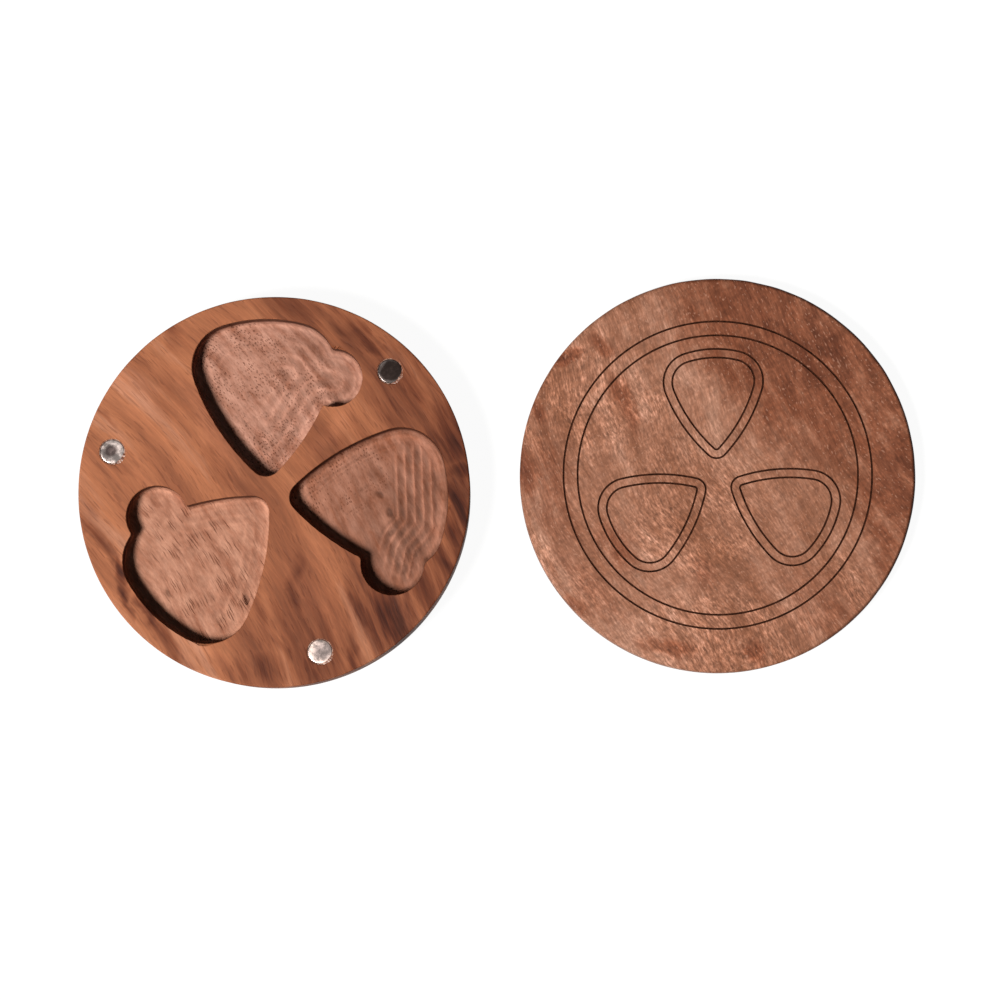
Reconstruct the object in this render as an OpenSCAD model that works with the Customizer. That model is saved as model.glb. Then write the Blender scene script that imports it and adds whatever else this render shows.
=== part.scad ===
// Round wooden pick holder with three pick-shaped pockets and a magnetic lid.
// The lid lies beside the base, engraved face up. Origin: centre of the base's underside.
// +Z is up and +X points at the lid's centre. All sizes are in millimetres.

/* [Discs] */
// Diameter of the base
base_d = 80; // [76:1:90]
// How far the lid stands out past the base all round, to prise it off by
lid_lip = 0.8; // [0:0.1:1]
// Thickness of the base
base_t = 12; // [10:0.5:20]
// Thickness of the lid
lid_t = 6; // [5:0.5:10]
// Radius of the rounding on the discs' rims
rim_ease = 0.5; // [0.2:0.1:1]
// Gap between the two discs as they lie side by side
rest_gap = 10.3; // [6:0.1:40]

/* [Pockets] */
// Depth of the pockets
pocket_depth = 5; // [3:0.5:7]
// Length of the pick outline, from its tip to its top
pick_len = 32.4; // [32:0.1:33]
// Radius of the pick's tip
tip_r = 3.4; // [3:0.1:4]
// Radius of the pick's two shoulders
shoulder_r = 8.9; // [8.5:0.1:9.2]
// Distance of the shoulders' centres from the tip, along the pick
shoulder_u = 22.7; // [22:0.1:23]
// Distance of the shoulders' centres from the pick's middle line
shoulder_v = 5.8; // [5.5:0.1:6]
// Radius of the pick's two sides
side_r = 49; // [45:1:60]

/* [Magnets] */
// Diameter of a magnet
magnet_d = 5; // [4:0.5:6]
// Thickness of a magnet
magnet_t = 2.5; // [2:0.1:2.8]
// Distance of the magnets from the disc's centre
magnet_ring_r = 34.1; // [34:0.1:34.8]
// Direction of the first magnet, from +X
magnet_turn = 43.8; // [42:0.1:45]
// How far a magnet's face lies below the wood
magnet_recess = 0.15; // [0.05:0.05:0.3]
// Radial room for glue between a magnet and its hole
glue_room = 0.15; // [0.1:0.05:0.25]
// Thickness of the glue under a magnet
glue_t = 0.2; // [0.1:0.05:0.3]
// Diameter of the glue drop in the drill point of one lid hole
drop_d = 1.2; // [1:0.1:1.2]

/* [Engraving] */
// Width of an engraved line
line_w = 0.4; // [0.2:0.1:0.8]
// Depth of an engraved line
line_depth = 0.3; // [0.2:0.1:0.6]
// Radius of the outer engraved ring
outer_ring_r = 31.8; // [31:0.1:36]
// Radius of the inner engraved ring
inner_ring_r = 28.9; // [28:0.1:30]
// Size of an engraved pick, as a part of a pocket's pick
motif_k = 0.7; // [0.65:0.01:0.74]
// Distance of an engraved pick's tip from the lid's centre
motif_tip = 3.4; // [2:0.1:4]
// Distance between the two lines that outline an engraved pick
motif_band = 1.8; // [1:0.1:1.9]

/* [Hidden] */

base_r = base_d / 2;
lid_r = base_r + lid_lip;
lid_x = base_r + rest_gap + lid_r;

// Each pocket: direction of its pick, place of the tip, and the finger hollow's
// centre (along the pick, across it) and radius.
POCKETS = [
    [89.2, [-1.5, 3.1], [19.9, -14.2], 6.0],
    [-3.5, [3.1, -1.3], [21.3, -13.2], 6.5],
    [223.7, [-2.1, -1.8], [17.5, -13.5], 6.3]
];

// Depth of a magnet's hole to its flat shoulder, and of the drill point beyond
hole_r = magnet_d / 2 + glue_room;
hole_depth = magnet_recess + magnet_t + glue_t;
drill_point_angle = 118;
drill_point_h = hole_r / tan(drill_point_angle / 2);
// Room between the glue and the faces beside it
glue_fit = 0.02;
// Room between the glue drop and the glue bed below it
drop_room = 0.1;
magnet_ease = 0.2;
// How far a cutter reaches past the face that it cuts
past = 1;
// Facets of a round, and segments of one arc of the pick's outline
round_fn = 128;
arc_steps = 8;

// Direction in degrees from point a to point b
function heading(a, b) = atan2(b.y - a.y, b.x - a.x);

// Points on an arc about c, from direction a0 to direction a1
function arc(c, r, a0, a1) = [
    for (i = [0:arc_steps])
        let (a = a0 + (a1 - a0) * i / arc_steps)
        [c.x + r * cos(a), c.y + r * sin(a)]
];

// Outline of a rounded-triangle pick whose tip points to -X and touches the origin.
// Its tip, sides, shoulders and top are arcs that meet smoothly. k scales it, and
// grow moves its whole outline outward.
function pick_points(k = 1, grow = 0) =
    let (
        tip = [k * tip_r, 0],
        shoulder = [k * shoulder_u, k * shoulder_v],
        // A side's arc touches the tip's circle and the shoulder's from outside
        a = k * (side_r - tip_r),
        b = k * (side_r - shoulder_r),
        span = norm(shoulder - tip),
        along = (a * a - b * b + span * span) / (2 * span),
        across = sqrt(a * a - along * along),
        line = (shoulder - tip) / span,
        side = tip + along * line + across * [line.y, -line.x],
        // The top's arc is centred on the middle line and touches both shoulders
        reach = k * (pick_len - shoulder_u),
        rise = k * shoulder_r,
        top_r = (pow(k * shoulder_v, 2) + reach * reach - rise * rise) / (2 * (reach - rise)),
        top = [k * pick_len - top_r, 0],
        half = concat(
            arc(tip, k * tip_r + grow, 180, heading(side, tip)),
            arc(side, k * side_r + grow, heading(side, tip), heading(side, shoulder)),
            arc(shoulder, k * shoulder_r + grow, heading(side, shoulder), heading(top, shoulder)),
            arc(top, top_r + grow, heading(top, shoulder), 0)
        )
    )
    concat(half, [for (i = [len(half) - 2:-1:1]) [half[i].x, -half[i].y]]);

// A flat disc with rounded rims, standing on z = 0
module eased_disc(r, t, ease) {
    rotate_extrude($fn = round_fn) {
        square([r - ease, t]);
        translate([0, ease])
            square([r, t - 2 * ease]);
        for (z = [ease, t - ease])
            translate([r - ease, z])
                circle(ease, $fn = 32);
    }
}

// Puts its children at magnet i of a disc, counted from magnet_turn
module at_magnet(i) {
    rotate(magnet_turn + 120 * i)
        translate([magnet_ring_r, 0, 0])
            children();
}

// A blind hole with a drill point, whose mouth is at z = 0 and which goes down
module magnet_hole() {
    translate([0, 0, -hole_depth])
        cylinder(r = hole_r, h = hole_depth + past, $fn = 64);
    translate([0, 0, -hole_depth - drill_point_h])
        cylinder(r1 = 0, r2 = hole_r, h = drill_point_h, $fn = 64);
}

// A magnet in a hole whose mouth is at z = 0
module magnet() {
    color("silver")
        translate([0, 0, -magnet_recess - magnet_t])
            eased_disc(magnet_d / 2, magnet_t, magnet_ease);
}

// The glue round and under a magnet: a shallow cup
module glue_cup() {
    color("lightgoldenrodyellow")
        translate([0, 0, -hole_depth])
            difference() {
                cylinder(r = hole_r - glue_fit, h = glue_t + magnet_t, $fn = 64);
                translate([0, 0, glue_t])
                    cylinder(r = magnet_d / 2 + glue_fit, h = magnet_t + past, $fn = 64);
            }
}

// One pocket's space above its floor at z = 0: a pick and a hollow for a fingertip
module pocket_space(pocket) {
    translate(pocket[1])
        rotate(pocket[0])
            linear_extrude(pocket_depth + past) {
                polygon(pick_points());
                translate(pocket[2])
                    circle(pocket[3], $fn = 64);
            }
}

// A round groove of radius r, cut into a face at z = 0
module ring_groove(r) {
    translate([0, 0, -line_depth])
        rotate_extrude($fn = round_fn)
            translate([r - line_w / 2, 0])
                square([line_w, line_depth + past]);
}

// A groove along the pick's outline moved inward by inset, cut into a face at z = 0
module pick_groove(inset) {
    translate([0, 0, -line_depth])
        linear_extrude(line_depth + past)
            difference() {
                polygon(pick_points(motif_k, line_w / 2 - inset));
                polygon(pick_points(motif_k, -line_w / 2 - inset));
            }
}

module base() {
    color("sienna")
        difference() {
            eased_disc(base_r, base_t, rim_ease);
            for (pocket = POCKETS)
                translate([0, 0, base_t - pocket_depth])
                    pocket_space(pocket);
            for (i = [0:2])
                translate([0, 0, base_t])
                    at_magnet(i)
                        magnet_hole();
        }
}

module lid() {
    color("peru")
        translate([lid_x, 0, 0])
            difference() {
                eased_disc(lid_r, lid_t, rim_ease);
                for (i = [0:2])
                    at_magnet(i)
                        mirror([0, 0, 1])
                            magnet_hole();
                translate([0, 0, lid_t]) {
                    for (r = [outer_ring_r, inner_ring_r])
                        ring_groove(r);
                    for (i = [0:2])
                        rotate(90 + 120 * i)
                            translate([motif_tip, 0, 0])
                                for (inset = [0, motif_band])
                                    pick_groove(inset);
                }
            }
}

// Puts its children, made for a mouth at z = 0, into hole i of the base
module in_base(i) {
    translate([0, 0, base_t])
        at_magnet(i)
            children();
}

// The same for hole i in the lid's underside
module in_lid(i) {
    translate([lid_x, 0, 0])
        at_magnet(i)
            mirror([0, 0, 1])
                children();
}

// A drop of glue in the drill point of the lid's third hole
module glue_drop() {
    color("lightgoldenrodyellow")
        in_lid(2)
            translate([0, 0, -hole_depth - drop_room - drop_d / 2])
                sphere(d = drop_d, $fn = 32);
}

base();
lid();
for (i = [0:2]) {
    in_base(i) magnet();
    in_lid(i) magnet();
    in_base(i) glue_cup();
    in_lid(i) glue_cup();
}
glue_drop();
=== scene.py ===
"""The looks of a round wooden pick holder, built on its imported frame.

Meshes are made in millimetres in the row frame and brought to metres as they are finished.
Materials see the same millimetres.
"""
import math

import bmesh
import bpy
import numpy as np
from mathutils import Matrix, Vector, noise
from mathutils.geometry import delaunay_2d_cdt
from mathutils.kdtree import KDTree


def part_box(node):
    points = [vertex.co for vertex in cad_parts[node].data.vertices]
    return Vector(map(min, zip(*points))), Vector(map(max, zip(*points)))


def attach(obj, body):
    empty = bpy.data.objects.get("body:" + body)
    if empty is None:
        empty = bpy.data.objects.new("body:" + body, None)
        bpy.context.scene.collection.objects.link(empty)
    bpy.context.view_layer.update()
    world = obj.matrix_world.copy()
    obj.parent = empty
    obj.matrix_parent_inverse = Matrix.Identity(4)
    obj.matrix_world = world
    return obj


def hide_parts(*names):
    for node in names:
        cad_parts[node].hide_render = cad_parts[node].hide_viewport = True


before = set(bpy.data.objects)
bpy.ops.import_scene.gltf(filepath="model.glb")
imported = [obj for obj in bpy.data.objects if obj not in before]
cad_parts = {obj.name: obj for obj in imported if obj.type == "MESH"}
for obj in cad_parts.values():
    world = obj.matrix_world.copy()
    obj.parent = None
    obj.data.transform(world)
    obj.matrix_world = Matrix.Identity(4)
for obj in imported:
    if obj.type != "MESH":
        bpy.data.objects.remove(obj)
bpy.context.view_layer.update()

MM = 0.001
TAU = 2 * math.pi

# ---------------------------------------------------------------- sizes from the frame


def box_mm(node):
    """Lowest and highest corner of a CAD node, in millimetres."""
    low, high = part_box(node)
    return np.array(low) / MM, np.array(high) / MM


def centre_mm(node):
    low, high = box_mm(node)
    return (low + high) / 2


base_low, base_high = box_mm("base")
lid_low, lid_high = box_mm("lid")
BASE_R = (base_high[0] - base_low[0]) / 2
BASE_TOP = base_high[2]
LID_R = (lid_high[0] - lid_low[0]) / 2
LID_TOP = lid_high[2]
LID_X = centre_mm("lid")[0]
BASE_MAGNETS = [centre_mm(f"base_magnet_{i}") for i in (1, 2, 3)]
LID_MAGNETS = [centre_mm(f"lid_magnet_{i}") for i in (1, 2, 3)]
magnet_low, magnet_high = box_mm("base_magnet_1")
MAGNET_R = (magnet_high[0] - magnet_low[0]) / 2
MAGNET_T = magnet_high[2] - magnet_low[2]
GLUE_ROOM = 0.15
HOLE_R = MAGNET_R + GLUE_ROOM
HOLE_DEPTH = BASE_TOP - box_mm("base_glue_1")[0][2]
DRILL_POINT_ANGLE = 118
DRILL_POINT_H = HOLE_R / math.tan(math.radians(DRILL_POINT_ANGLE / 2))

# The pick's outline and the pockets, as the CAD has them
PICK_LEN = 32.4
TIP_R = 3.4
SHOULDER_R = 8.9
SHOULDER = (22.7, 5.8)
SIDE_R = 49
POCKET_DEPTH = 5
POCKET_FLOOR = BASE_TOP - POCKET_DEPTH
# Engraved lines: ring radii, then the picks' scale, place and band
LINE_W = 0.4
LINE_DEPTH = 0.3
RING_RADII = (31.8, 28.9)
MOTIF_SCALE = 0.7
MOTIF_TIP = 3.4
MOTIF_BAND = 1.8


# ---------------------------------------------------------------- outlines


def turn(points, degrees):
    a = math.radians(degrees)
    c, s = math.cos(a), math.sin(a)
    return np.asarray(points, float) @ np.array([[c, s], [-s, c]])


def arc(centre, radius, start, end, count):
    """Points on an arc, without its last one."""
    a = start + (end - start) * np.arange(count) / count
    return np.c_[centre[0] + radius * np.cos(a), centre[1] + radius * np.sin(a)]


def heading(a, b):
    return math.atan2(b[1] - a[1], b[0] - a[0])


def pick_outline(scale=1.0, inset=0.0, steps=24):
    """A rounded-triangle pick with its tip on the origin, pointing to -X, moved inward by inset."""
    tip = np.array([TIP_R, 0]) * scale
    shoulder = np.array(SHOULDER) * scale
    a, b = (SIDE_R - TIP_R) * scale, (SIDE_R - SHOULDER_R) * scale
    span = np.linalg.norm(shoulder - tip)
    along = (a * a - b * b + span * span) / (2 * span)
    across = math.sqrt(a * a - along * along)
    line = (shoulder - tip) / span
    side = tip + along * line + across * np.array([line[1], -line[0]])
    reach = (PICK_LEN - SHOULDER[0]) * scale
    rise = SHOULDER_R * scale
    top_r = (shoulder[1] ** 2 + reach ** 2 - rise ** 2) / (2 * (reach - rise))
    top = np.array([PICK_LEN * scale - top_r, 0])
    half = np.vstack([
        arc(tip, TIP_R * scale - inset, math.pi, heading(side, tip), steps),
        arc(side, SIDE_R * scale - inset, heading(side, tip), heading(side, shoulder), 2 * steps),
        arc(shoulder, rise - inset, heading(side, shoulder), heading(top, shoulder), 2 * steps),
        arc(top, top_r - inset, heading(top, shoulder), 0, steps),
        [[PICK_LEN * scale - inset, 0]],
    ])
    mirrored = half[-2:0:-1] * [1, -1]
    return np.vstack([half, mirrored])


def circle(centre, radius, count):
    return arc(centre, radius, 0, TAU, count)


def inside(points, polygon):
    """Which points lie in a polygon, by the even-odd rule."""
    x, y = points[:, 0:1], points[:, 1:2]
    ax, ay = polygon[:, 0], polygon[:, 1]
    bx, by = np.roll(ax, -1), np.roll(ay, -1)
    spans = (ay > y) != (by > y)
    with np.errstate(divide="ignore", invalid="ignore"):
        crossing = (bx - ax) * (y - ay) / (by - ay) + ax
    return (spans & (x < crossing)).sum(1) % 2 == 1


def odd_inside(points, outlines):
    """Which points lie inside an odd number of outlines."""
    return sum(inside(points, outline).astype(int) for outline in outlines) % 2 == 1


def nearest_to(points):
    """A search tree over flat points."""
    tree = KDTree(len(points))
    for i, p in enumerate(points):
        tree.insert((p[0], p[1], 0), i)
    tree.balance()
    return tree


# How far a grid's points keep from an outline, as a part of their spacing
GRID_CLEARANCE = 0.6


def grid_inside(outlines, spacing):
    """A triangular grid of points that lie inside an odd number of outlines."""
    border = np.vstack(outlines)
    near = nearest_to(border)
    low, high = border.min(0), border.max(0)
    rows = int((high[1] - low[1]) / (spacing * math.sqrt(0.75)))
    grid = []
    for row in range(rows + 1):
        y = low[1] + row * spacing * math.sqrt(0.75)
        for x in np.arange(low[0] + (row % 2) * spacing / 2, high[0], spacing):
            if near.find((x, y, 0))[2] > spacing * GRID_CLEARANCE:
                grid.append((x, y))
    grid = np.array(grid)
    return grid[odd_inside(grid, outlines)]


# ---------------------------------------------------------------- mesh building


class Solid:
    """Rings of points and the faces between them, in millimetres."""

    def __init__(self):
        self.points = []
        self.faces = []
        self.kinds = []

    def ring(self, flat, z):
        """Adds a closed ring of points. z is one height or one per point."""
        start = len(self.points)
        heights = np.broadcast_to(np.asarray(z, float), (len(flat),))
        self.points.extend((p[0], p[1], h) for p, h in zip(flat, heights))
        return list(range(start, start + len(flat)))

    def band(self, a, b, kind=0):
        for i in range(len(a)):
            j = (i + 1) % len(a)
            self.faces.append((a[i], a[j], b[j], b[i]))
            self.kinds.append(kind)

    def bands(self, rings, kind=0):
        for a, b in zip(rings, rings[1:]):
            self.band(a, b, kind)

    def cap(self, ring, centre):
        """Closes a ring with a fan to one point."""
        self.points.append(tuple(centre))
        apex = len(self.points) - 1
        for i in range(len(ring)):
            self.faces.append((ring[i], ring[(i + 1) % len(ring)], apex))
            self.kinds.append(0)

    def sheet(self, loops, spacing, kind=0, rise=None):
        """Fills the area that lies inside an odd number of the loops, at the loops' height.

        rise, if given, is a function of flat points that lifts the points between the loops.
        """
        flats = [np.array([self.points[i][:2] for i in loop]) for loop in loops]
        index = [i for loop in loops for i in loop]
        z = self.points[index[0]][2]
        edges = []
        first = 0
        for loop in loops:
            n = len(loop)
            edges += [(first + i, first + (i + 1) % n) for i in range(n)]
            first += n
        grid = grid_inside(flats, spacing)
        start = len(self.points)
        heights = z + rise(grid) if rise else np.full(len(grid), z)
        self.points.extend((p[0], p[1], h) for p, h in zip(grid, heights))
        index += list(range(start, start + len(grid)))
        flat_points = [Vector(p) for p in np.vstack([*flats, grid])]
        verts, _, faces, origins, _, _ = delaunay_2d_cdt(flat_points, edges, [], 0, 1e-6)
        middle = np.array([sum((verts[i] for i in f), Vector((0, 0))) / len(f) for f in faces])
        for face, kept in zip(faces, odd_inside(middle, flats)):
            if kept:
                self.faces.append(tuple(index[origins[i][0]] for i in face))
                self.kinds.append(kind)

    def build(self, name, materials, sharp_degrees=38):
        """Makes the Blender object: facing outward, and smooth but for its sharp edges."""
        mesh = bpy.data.meshes.new(name)
        scaled = [(x * MM, y * MM, z * MM) for x, y, z in self.points]
        mesh.from_pydata(scaled, [], self.faces)
        for polygon, kind in zip(mesh.polygons, self.kinds):
            polygon.material_index = kind
        bm = bmesh.new()
        bm.from_mesh(mesh)
        bmesh.ops.recalc_face_normals(bm, faces=bm.faces)
        for face in bm.faces:
            face.smooth = True
        limit = math.radians(sharp_degrees)
        for edge in bm.edges:
            edge.smooth = edge.calc_face_angle(0) < limit
        bm.to_mesh(mesh)
        bm.free()
        obj = bpy.data.objects.new(name, mesh)
        for material in materials:
            mesh.materials.append(material)
        bpy.context.scene.collection.objects.link(obj)
        return obj


# Width of the level ring that keeps the shading of a flat face flat up to its rounded edge
COLLAR = 0.08
RIM_POINTS = 480


def rounded_rim(solid, centre, radius, top, ease, wear):
    """A disc's side with rounded rims, from 0 up to top. Returns its top ring and its bottom ring."""
    angles = TAU * np.arange(RIM_POINTS) / RIM_POINTS
    out = np.c_[np.cos(angles), np.sin(angles)]
    eases = np.clip(ease * (1 + wear * wobble(angles, radius)), ease * 0.5, ease * 2)
    steps = 6
    turns = [math.pi / 2 * i / steps for i in range(steps + 1)]
    profile = [(eases + COLLAR, 0)]
    profile += [(eases * (1 - math.sin(a)), eases * (1 - math.cos(a))) for a in turns]
    flats = [centre + out * (radius - inset)[:, None] for inset, _ in profile]
    upper = [solid.ring(flat, top - drop) for flat, (_, drop) in zip(flats, profile)]
    lower = [solid.ring(flat, drop) for flat, (_, drop) in zip(flats, profile)]
    solid.bands(upper + lower[::-1])
    return upper[0], lower[0]


def wobble(angles, seed, low=5, high=47):
    """A repeatable rough wave round a circle, from -1 to 1 or so."""
    total = np.zeros_like(angles)
    for k in range(low, high, 3):
        total += math.sin(seed * 12.9 + k * 78.2) * np.sin(k * angles + seed * 3.7 + k * k)
    return total / math.sqrt((high - low) / 3)


# ---------------------------------------------------------------- shader building


def make(tree, kind, inputs=None, **settings):
    """Adds a node. inputs maps a socket's name or number to a value or to another socket."""
    node = tree.nodes.new(kind)
    for key, value in settings.items():
        setattr(node, key, value)
    for key, value in (inputs or {}).items():
        if isinstance(value, bpy.types.NodeSocket):
            tree.links.new(value, node.inputs[key])
        else:
            node.inputs[key].default_value = value
    return node


def calc(tree, operation, a, b=0.0, clamp=False):
    return make(tree, "ShaderNodeMath", {0: a, 1: b}, operation=operation, use_clamp=clamp).outputs[0]


def vector(tree, operation, a, b):
    """A vector operation of two vectors, or the dot product or scaling of one."""
    other = "Scale" if operation == "SCALE" else 1
    node = make(tree, "ShaderNodeVectorMath", {0: a, other: b}, operation=operation)
    return node.outputs["Value" if operation == "DOT_PRODUCT" else "Vector"]


def mix_colour(tree, factor, a, b, blend="MIX"):
    """Blends colour b over colour a."""
    node = make(tree, "ShaderNodeMix", {"Factor": factor}, data_type="RGBA", blend_type=blend)
    for socket, value in ((node.inputs[6], a), (node.inputs[7], b)):
        if isinstance(value, bpy.types.NodeSocket):
            tree.links.new(value, socket)
        else:
            socket.default_value = value
    return node.outputs[2]


def tinted(tree, tone, factor, *stops, force=1.0):
    """Multiplies a colour by a ramp."""
    return mix_colour(tree, force, tone, ramp(tree, factor, *stops), "MULTIPLY")


# How much brighter than its own colour a level face looks under the studio's light
LIGHT_GAIN = (1.53, 1.48, 1.42)
LIGHT_HAZE = 0.017


def seen(red, green, blue):
    """The surface colour that looks like this 0 to 255 display colour under the studio's light."""
    def one(c, gain):
        c /= 255
        c = c / 12.92 if c <= 0.04045 else ((c + 0.055) / 1.055) ** 2.4
        return max(c - LIGHT_HAZE, 0.002) / gain
    return (*(one(c, gain) for c, gain in zip((red, green, blue), LIGHT_GAIN)), 1)


def ramp(tree, factor, *stops):
    """A colour ramp. stops are (position, colour or grey)."""
    node = make(tree, "ShaderNodeValToRGB", {0: factor})
    elements = node.color_ramp.elements
    while len(elements) < len(stops):
        elements.new(0.5)
    for element, (position, value) in zip(elements, stops):
        element.position = position
        element.color = value if isinstance(value, tuple) else (value, value, value, 1)
    return node.outputs[0]


def noise_at(tree, space, size, seed, detail=3.0, roughness=0.5):
    """Noise whose features have the given size in mm: along the grain, across it and up."""
    scaled = vector(tree, "MULTIPLY", space, [1 / s for s in size])
    inputs = {"Vector": scaled, "W": seed, "Scale": 1.0, "Detail": detail, "Roughness": roughness}
    return make(tree, "ShaderNodeTexNoise", inputs, noise_dimensions="4D").outputs["Fac"]


def warped(tree, space, size, amount, seed):
    """Coordinates in mm, pushed about by broad noise."""
    scaled = vector(tree, "SCALE", space, 1 / size)
    inputs = {"Vector": scaled, "W": seed, "Scale": 1.0, "Detail": 2.0}
    push = make(tree, "ShaderNodeTexNoise", inputs, noise_dimensions="4D").outputs["Color"]
    push = vector(tree, "SUBTRACT", push, (0.5, 0.5, 0.5))
    return vector(tree, "ADD", space, vector(tree, "SCALE", push, amount))


def grain_space(tree, place, direction, bend, wander, seed):
    """Coordinates in mm along the grain, across it and up. bend turns the grain as it runs."""
    c, s = math.cos(math.radians(direction)), math.sin(math.radians(direction))
    along = vector(tree, "DOT_PRODUCT", place, (c, s, 0))
    across = vector(tree, "DOT_PRODUCT", place, (-s, c, 0))
    up = vector(tree, "DOT_PRODUCT", place, (0, 0, 1))
    curve = calc(tree, "MULTIPLY", calc(tree, "MULTIPLY", along, along), bend / 2)
    across = calc(tree, "ADD", across, curve)
    space = make(tree, "ShaderNodeCombineXYZ", {0: along, 1: across, 2: up}).outputs[0]
    return warped(tree, space, 36, wander, seed)


def patch(tree, space, x, y, direction, length, width):
    """A soft oval, 1 in its middle and 0 at its edge. Sizes are full lengths in mm."""
    inputs = {"Vector": space, "Location": (x, y, 0), "Rotation": (0, 0, math.radians(direction)),
              "Scale": (length / 2, width / 2, 60)}
    local = make(tree, "ShaderNodeMapping", inputs, vector_type="TEXTURE").outputs[0]
    return make(tree, "ShaderNodeTexGradient", {0: local}, gradient_type="SPHERICAL").outputs["Fac"]


def patches(tree, space, rows):
    """The strongest of several soft ovals. Each row ends with its strength."""
    total = None
    for *shape, strength in rows:
        one = calc(tree, "MULTIPLY", patch(tree, space, *shape), strength)
        total = one if total is None else calc(tree, "MAXIMUM", total, one)
    return total


def dashes(tree, space, along, across, seed, sparse):
    """Short dashes along the grain, about half the given sizes in mm. 1 in a dash, 0 between."""
    spots = noise_at(tree, space, (along, across, across), seed, detail=0)
    return ramp(tree, spots, (sparse, 0.0), (sparse + 0.05, 1.0))


def pits(tree, space, along, across, size, share):
    """Separate small pits on a jittered grid of cells, whose size is given in mm.

    size is a pit's part of its cell, and share is the part of the cells that have a pit.
    """
    scaled = vector(tree, "MULTIPLY", space, (1 / along, 1 / across, 1))
    inputs = {"Vector": scaled, "Scale": 1.0}
    cells = make(tree, "ShaderNodeTexVoronoi", inputs, voronoi_dimensions="2D")
    pit = ramp(tree, cells.outputs["Distance"], (size * 0.5, 1.0), (size, 0.0))
    chance = make(tree, "ShaderNodeSeparateColor", {0: cells.outputs["Color"]}).outputs[0]
    return calc(tree, "MULTIPLY", pit, ramp(tree, chance, (1 - share, 0.0), (1 - share + 0.2, 1.0)))


def new_material(name):
    """A material with one glossy shader, and its object coordinates in mm."""
    material = bpy.data.materials.new(name)
    material.use_nodes = True
    tree = material.node_tree
    tree.nodes.clear()
    shader = make(tree, "ShaderNodeBsdfPrincipled")
    make(tree, "ShaderNodeOutputMaterial", {"Surface": shader.outputs[0]})
    place = make(tree, "ShaderNodeTexCoord").outputs["Object"]
    return material, tree, shader, vector(tree, "SCALE", place, 1 / MM)


def finish_material(tree, shader, tone, rough, height, relief):
    """Connects a colour, a roughness and a height map whose relief is in mm."""
    tree.links.new(tone, shader.inputs["Base Color"])
    tree.links.new(rough, shader.inputs["Roughness"])
    bump = make(tree, "ShaderNodeBump", {"Height": height, "Strength": 1.0, "Distance": relief * MM})
    tree.links.new(bump.outputs[0], shader.inputs["Normal"])


# ---------------------------------------------------------------- walnut of the base

GRAIN = -57.0
GRAIN_BEND = 0.0055

# Dark heartwood on the base, and broad painted shade: x, y, direction, length, width, strength
HEARTWOOD_AND_SHADE = (
    (-20, 34, -52, 18, 5, 0.35),
    (-34, 19, -52, 14, 2, 0.40),
    (-24, 22, -59, 38, 8, 0.24),
    (-11, 8.5, -49, 10, 2, 0.50),
    (-9, 2.5, -59, 24, 7, 0.35),
    (-35, 9, -50, 16, 2.4, 0.30),
    (-30, 4, -62, 20, 1.6, 0.30),
    (20, 32, -42, 28, 6, 0.60),
    (31, 19, -50, 24, 8, 0.55),
    (37, 9, -66, 26, 11, 0.95),
    (38, 1, -15, 15, 8, 0.75),
    (38, -7, -78, 26, 10, 0.95),
    (34, -16, -58, 24, 7, 0.70),
    (25.5, 14, -44, 18, 6, 0.42),
    (-37, -8, -62, 26, 3.6, 0.50),
    (-32.5, -18, -72, 18, 2.4, 1.1),
    (-26.5, -25, -62, 20, 3, 1.0),
    (-23, -30, -52, 18, 5, 0.60),
    (-1.5, -27, -77, 30, 5, 0.45),
    (4, -20, -72, 24, 4, 0.42),
    (14, -23, -84, 24, 5, 0.50),
    (22, -28, -46, 30, 16, 1.3),
    (-2, -37, -15, 34, 9, 0.45),
    (15, -35, -62, 20, 6, 0.60),
    (1.5, -35, -72, 20, 3.4, 0.70),
    (6, -37, -67, 16, 3.4, 0.65),
    # The last four rows are broad painted shade, darkening the base as a whole towards its right, its
    # top and its bottom
    (30, -17, -57, 80, 40, 0.62),
    (8, -34, -57, 52, 34, 0.36),
    (30, 18, -50, 50, 26, 0.42),
    (6, 36, -30, 50, 14, 0.42),
)
# Pale places on the base, written the same way: paler wood, and in the first row a painted highlight
# left of the first pocket
PALE_WOOD_AND_HIGHLIGHT = (
    (-13, 14, -62, 32, 5, 0.9),
    (-30, 24, -52, 26, 10, 0.6),
    (-24, -1, -57, 26, 4, 0.5),
    (12, 12, 50, 16, 5, 0.6),
    (-14, -33, -40, 18, 5, 0.5),
    (8, -12, -50, 18, 6, 0.4),
    (20, -16, -60, 12, 4, 0.4),
    (7, -22, -62, 26, 9, 0.5),
)


def heartwood_and_shade(tree, place, grain):
    """How dark the base's wood is, from heartwood and broad painted shade: soft patches torn into bands
    by the grain.
    """
    loose = warped(tree, warped(tree, place, 14, 12, seed=6.6), 3, 2, seed=8.2)
    band = noise_at(tree, grain, (26, 2.0, 2.4), 7.1, detail=5, roughness=0.55)
    torn = ramp(tree, band, (0.38, 0.40), (0.50, 0.95), (0.62, 1.6))
    return calc(tree, "MULTIPLY", patches(tree, loose, HEARTWOOD_AND_SHADE), torn, clamp=True)


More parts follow.
